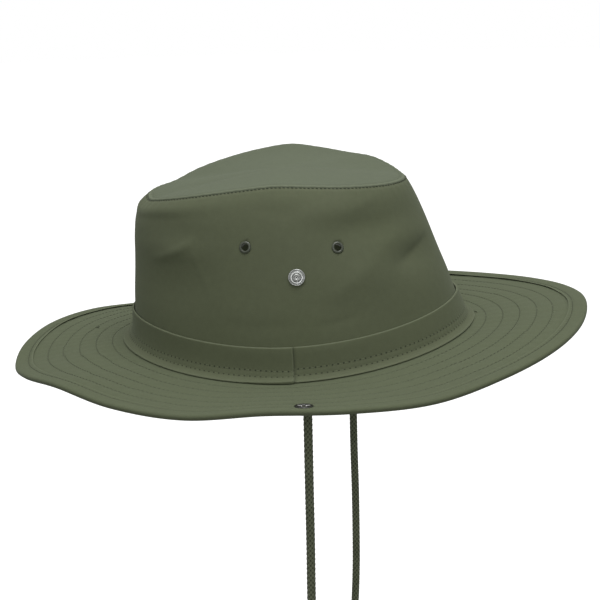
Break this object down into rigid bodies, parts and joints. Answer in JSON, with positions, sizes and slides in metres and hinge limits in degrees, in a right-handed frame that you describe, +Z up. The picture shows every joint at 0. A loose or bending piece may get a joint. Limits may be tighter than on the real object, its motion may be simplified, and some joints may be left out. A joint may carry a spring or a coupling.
{
  "type": "bush hat",
  "caption": "Wide-brimmed cotton bush hat with an oval crown, hat band, stitched brim, vents, a press stud and snap, and a hanging chin cord loop.",
  "frame": {"origin": "middle of the head opening in the plane of the crown's lower line, where the head sits", "axes": "-Y to the wearer's front, +X to the wearer's left, +Z up with the hat worn 3 degrees front low"},
  "size_m": [0.3269, 0.3614, 0.3846],
  "materials": {
    "crown_cloth": "smooth olive cotton, matte with a faint sheen",
    "band_cloth": "smooth olive cotton, matte",
    "brim_cloth": "smooth olive cotton, matte, stitched in rows",
    "vent_enamel": "dark green satin enamel",
    "snap_steel": "bright nickel plate",
    "cord_braid": "round braided cord"
  },
  "bodies": {
    "root": {"crown_side": "crown_cloth", "crown_tip": "crown_cloth", "hat_band": "band_cloth", "brim": "brim_cloth", "brim_binding": "brim_cloth", "eyelet_left_front": "vent_enamel", "eyelet_left_rear": "vent_enamel", "eyelet_right_front": "vent_enamel", "eyelet_right_rear": "vent_enamel", "crown_stud": "snap_steel", "brim_snap_socket": "snap_steel", "brim_snap_cap": "snap_steel", "cord_tab_left": "band_cloth", "cord_tab_right": "band_cloth", "chin_cord": "cord_braid"}
  },
  "joints": []
}
